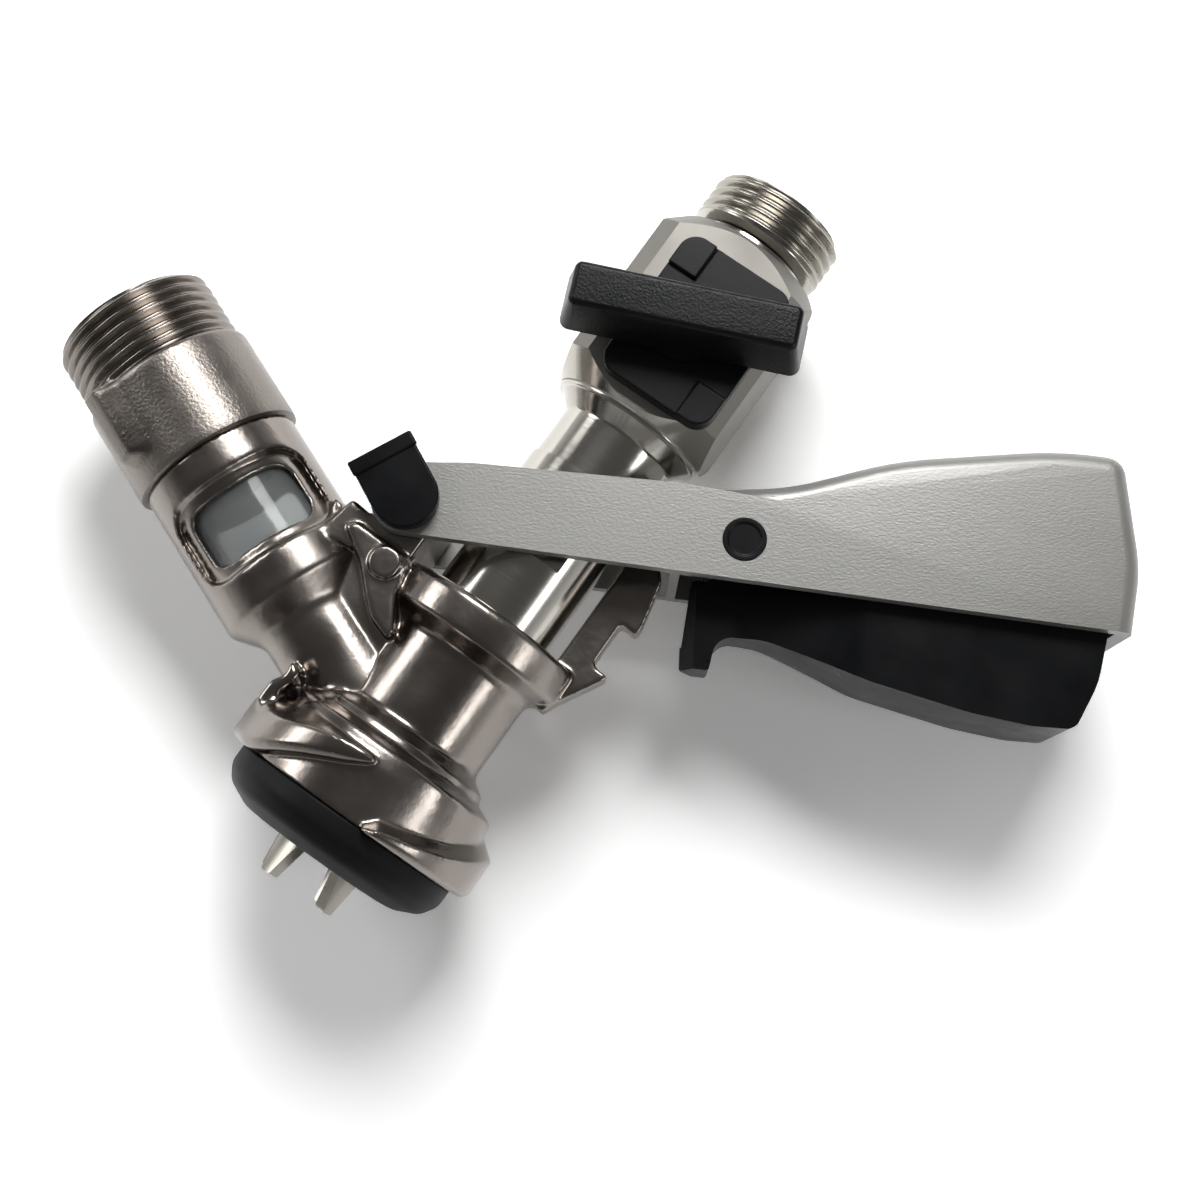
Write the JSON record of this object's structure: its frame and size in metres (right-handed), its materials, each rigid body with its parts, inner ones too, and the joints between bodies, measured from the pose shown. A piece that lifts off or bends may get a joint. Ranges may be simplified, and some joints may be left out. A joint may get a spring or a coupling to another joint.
{
  "type": "keg coupler",
  "caption": "Keg coupler with a lever that drives its probe down, a slanted gas inlet with a sight glass, and a ball valve under the threaded beer outlet.",
  "frame": {"origin": "on the probe's axis, 9 mm below the base's lower metal face and 1.7 mm below the flat of the base seal, where the coupler meets the keg", "axes": "+Z along the probe towards the beer outlet, +X towards the lever's grip, -Y towards the valve handle"},
  "size_m": [0.1621, 0.0479, 0.1313],
  "materials": {
    "plated_body": "forged and tumbled, with a dark tin and nickel plating, softly glossy",
    "plated_union": "cast and plated, rough on the barrel and turned bright on the thread",
    "bright_stainless": "turned stainless steel, bright",
    "blasted_stainless": "bead-blasted stainless steel with a fine even grain",
    "polished_stainless": "polished stainless steel",
    "lever_metal": "cast, with a fine matt texture",
    "black_rubber": "matt black rubber",
    "seal_rubber": "smooth black rubber",
    "black_plastic": "satin moulded plastic",
    "pin_steel": "plain steel",
    "pin_black": "black coated steel, satin",
    "spring_steel": "drawn spring wire",
    "seat_plastic": "white low-friction plastic",
    "clear_plastic": "clear, slightly grey"
  },
  "bodies": {
    "body": {"coupler_body": "plated_body", "base_seal": "black_rubber", "sight_glass": "clear_plastic", "sight_glass_seals": "seal_rubber", "gas_inlet_union": "plated_union", "union_seal": "seal_rubber", "gas_check_valve": "seal_rubber", "hinge_pin": "pin_steel", "hinge_clip": "black_plastic"},
    "lever": {"lever": "lever_metal", "trigger_pin": "pin_black"},
    "trigger": {"trigger": "black_plastic", "trigger_spring": "spring_steel"},
    "latch": {"latch_bolt": "pin_steel"},
    "probe": {"probe": "bright_stainless", "probe_orings": "seal_rubber", "probe_tip_seal": "black_rubber", "valve_body": "blasted_stainless", "outlet_nipple": "bright_stainless", "nipple_seal": "seal_rubber", "ball_seats": "seat_plastic", "stem_seal": "seal_rubber", "stop_plate": "black_plastic"},
    "valve_handle": {"valve_ball": "polished_stainless", "valve_stem": "pin_steel", "valve_handle": "black_plastic"}
  },
  "joints": [
    {"name": "lever_hinge", "type": "hinge", "parent": "body", "child": "lever", "pos_m": [-0.0193, 0, 0.0528], "axis": [0, 1, 0], "range_deg": [0, 25]},
    {"name": "probe_slide", "type": "slide", "parent": "body", "child": "probe", "axis": [0, 0, -1], "range_m": [0, 0.00887]},
    {"name": "trigger_hinge", "type": "hinge", "parent": "lever", "child": "trigger", "pos_m": [0.02604, 0, 0.0768], "axis": [0, -1, 0], "range_deg": [-6, 8], "stiffness_Nm_per_rad": 0.3},
    {"name": "latch_slide", "type": "slide", "parent": "lever", "child": "latch", "axis": [0.891, 0, 0.454], "range_m": [-0.00122, 0.00162]},
    {"name": "valve_turn", "type": "hinge", "parent": "probe", "child": "valve_handle", "pos_m": [0, 0, 0.0982], "axis": [0, 1, 0], "range_deg": [-67.4, 22.6]}
  ],
  "couplings": [
    {"joint": "probe_slide", "follows": "lever_hinge", "m_per_rad": 0.02031},
    {"joint": "latch_slide", "follows": "trigger_hinge", "m_per_rad": 0.0115}
  ]
}
